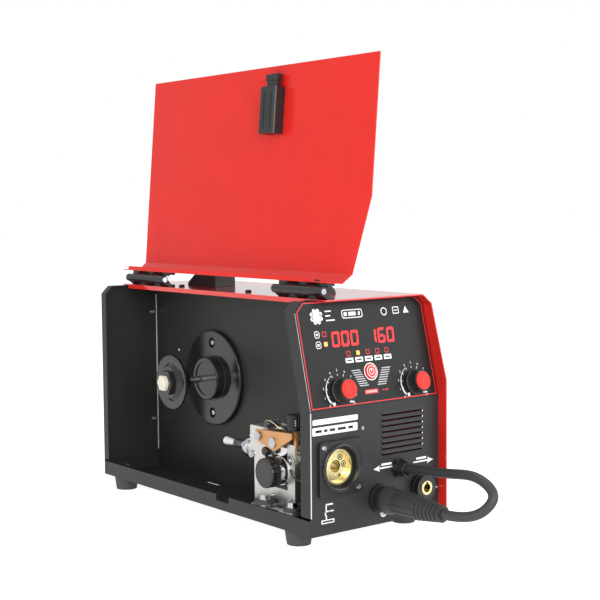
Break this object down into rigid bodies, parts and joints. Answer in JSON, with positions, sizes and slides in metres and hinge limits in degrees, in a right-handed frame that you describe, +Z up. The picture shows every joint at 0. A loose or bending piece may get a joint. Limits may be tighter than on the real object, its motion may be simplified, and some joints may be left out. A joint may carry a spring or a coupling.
{
  "type": "mig welding machine",
  "caption": "Portable compact MIG welding machine with an open wire compartment, top-hinged side door, spool hub, wire feeder, leaning control panel and front sockets.",
  "frame": {"origin": "on the floor, under the middle of the case", "axes": "+Z up, -Y the front with the control panel and sockets, -X the wire compartment side"},
  "size_m": [0.1759, 0.6062, 0.4885],
  "materials": {
    "black_paint": "fine textured powder coat",
    "red_paint": "gloss",
    "black_plastic": "satin",
    "red_plastic": "satin",
    "steel": "zinc plated",
    "black_rubber": "matte",
    "overlay_film": "satin film",
    "display_face": "smoked",
    "led_lens": "clear",
    "circuit_board": "solder mask",
    "brass": "machined",
    "cast_aluminium": "die cast",
    "copper_plate": "satin",
    "white_nylon": "satin",
    "motor_steel": "satin",
    "winding": "taped"
  },
  "bodies": {
    "root": {"base_tray": "black_paint", "front_panel": "black_paint", "rear_panel": "black_paint", "top_cover": "red_paint", "divider_wall": "black_paint", "hinge_body_leaves": "black_plastic", "hinge_pins": "steel", "case_screws": "steel", "carry_handle": "black_plastic", "rubber_feet": "black_rubber", "control_overlay": "overlay_film", "display_modules": "display_face", "indicator_leds": "led_lens", "control_board": "circuit_board", "potentiometers": "black_plastic", "euro_flange": "black_plastic", "euro_socket": "brass", "output_socket_shells": "black_plastic", "output_socket_contacts": "brass", "polarity_plug": "black_rubber", "polarity_cable": "black_rubber", "cable_gland": "black_plastic", "feeder_frame": "cast_aluminium", "feeder_insulators": "black_rubber", "feeder_bolts": "steel", "wire_guides": "white_nylon", "feed_motor": "motor_steel", "spool_flange": "black_plastic", "spool_shaft": "steel", "inverter_board": "circuit_board", "heatsinks": "cast_aluminium", "power_components": "winding", "fan_frame": "black_plastic", "gas_valve": "brass", "power_switch": "black_plastic", "mains_cord": "black_rubber"},
    "door": {"side_door": "red_paint", "hinge_door_leaves": "black_plastic", "door_screws": "steel", "latch_housing": "black_plastic"},
    "latch": {"latch_slider": "black_plastic"},
    "knob_left": {"knob_left": "black_plastic", "knob_cap_left": "red_plastic"},
    "knob_right": {"knob_right": "black_plastic", "knob_cap_right": "red_plastic"},
    "mode_button": {"mode_button": "red_plastic"},
    "drive": {"drive_shaft": "steel", "drive_roller": "steel", "roller_cap": "black_plastic"},
    "arm": {"pressure_arm": "copper_plate", "pressure_axle": "steel"},
    "press_roller": {"pressure_roller": "steel"},
    "lever": {"tension_lever": "steel", "tension_spring": "steel"},
    "tension_knob": {"tension_knob": "black_plastic"},
    "hub": {"spool_hub": "black_plastic"},
    "cone": {"spool_cone": "black_plastic"},
    "nut": {"spool_nut": "black_plastic"},
    "fan": {"fan_rotor": "black_plastic"},
    "rocker": {"power_rocker": "black_plastic"}
  },
  "joints": [
    {"name": "door_swing", "type": "hinge", "parent": "root", "child": "door", "pos_m": [-0.0554, 0, 0.2535], "axis": [0, 1, 0], "range_deg": [-184.9, 0]},
    {"name": "latch_slide", "type": "slide", "parent": "door", "child": "latch", "axis": [0.0854, 0, 0.9963], "range_m": [0, 0.005]},
    {"name": "knob_left_turn", "type": "hinge", "parent": "root", "child": "knob_left", "pos_m": [-0.0452, -0.20066, 0.15639], "axis": [0, -0.9705, 0.241], "range_deg": [-150, 150]},
    {"name": "knob_right_turn", "type": "hinge", "parent": "root", "child": "knob_right", "pos_m": [0.0543, -0.20078, 0.15591], "axis": [0, -0.9705, 0.241], "range_deg": [-150, 150]},
    {"name": "mode_button_press", "type": "slide", "parent": "root", "child": "mode_button", "axis": [0, 0.9705, -0.241], "range_m": [0, 0.0012]},
    {"name": "drive_roller_spin", "type": "hinge", "parent": "root", "child": "drive", "pos_m": [-0.05, -0.118, 0.0655], "axis": [1, 0, 0], "continuous": true},
    {"name": "pressure_arm_lift", "type": "hinge", "parent": "root", "child": "arm", "pos_m": [-0.0557, -0.094, 0.1], "axis": [-1, 0, 0], "range_deg": [0, 17]},
    {"name": "pressure_roller_spin", "type": "hinge", "parent": "arm", "child": "press_roller", "pos_m": [-0.05, -0.118, 0.0959], "axis": [1, 0, 0], "continuous": true},
    {"name": "tension_lever_release", "type": "hinge", "parent": "root", "child": "lever", "pos_m": [-0.0557, -0.138, 0.091], "axis": [1, 0, 0], "range_deg": [0, 68.1]},
    {"name": "tension_knob_turn", "type": "hinge", "parent": "lever", "child": "tension_knob", "pos_m": [-0.0557, -0.138, 0.118], "axis": [0, 0, 1], "range_deg": [0, 720]},
    {"name": "spool_hub_spin", "type": "hinge", "parent": "root", "child": "hub", "pos_m": [-0.0225, 0.0695, 0.1392], "axis": [1, 0, 0], "continuous": true},
    {"name": "retainer_cone_slide", "type": "slide", "parent": "root", "child": "cone", "axis": [-1, 0, 0], "range_m": [0, 0.0061]},
    {"name": "retainer_nut_turn", "type": "hinge", "parent": "cone", "child": "nut", "pos_m": [-0.0795, 0.0695, 0.1392], "axis": [-1, 0, 0], "range_deg": [0, 1440]},
    {"name": "fan_spin", "type": "hinge", "parent": "root", "child": "fan", "pos_m": [0.0395, 0.19, 0.145], "axis": [0, 1, 0], "continuous": true},
    {"name": "power_rocker_tip", "type": "hinge", "parent": "root", "child": "rocker", "pos_m": [0.0185, 0.198, 0.218], "axis": [-1, 0, 0], "range_deg": [0, 24]}
  ],
  "couplings": [
    {"joint": "pressure_roller_spin", "follows": "drive_roller_spin", "ratio": -1},
    {"joint": "tension_lever_release", "follows": "pressure_arm_lift", "ratio": 4},
    {"joint": "retainer_cone_slide", "follows": "retainer_nut_turn", "m_per_rad": 0.00023873}
  ]
}
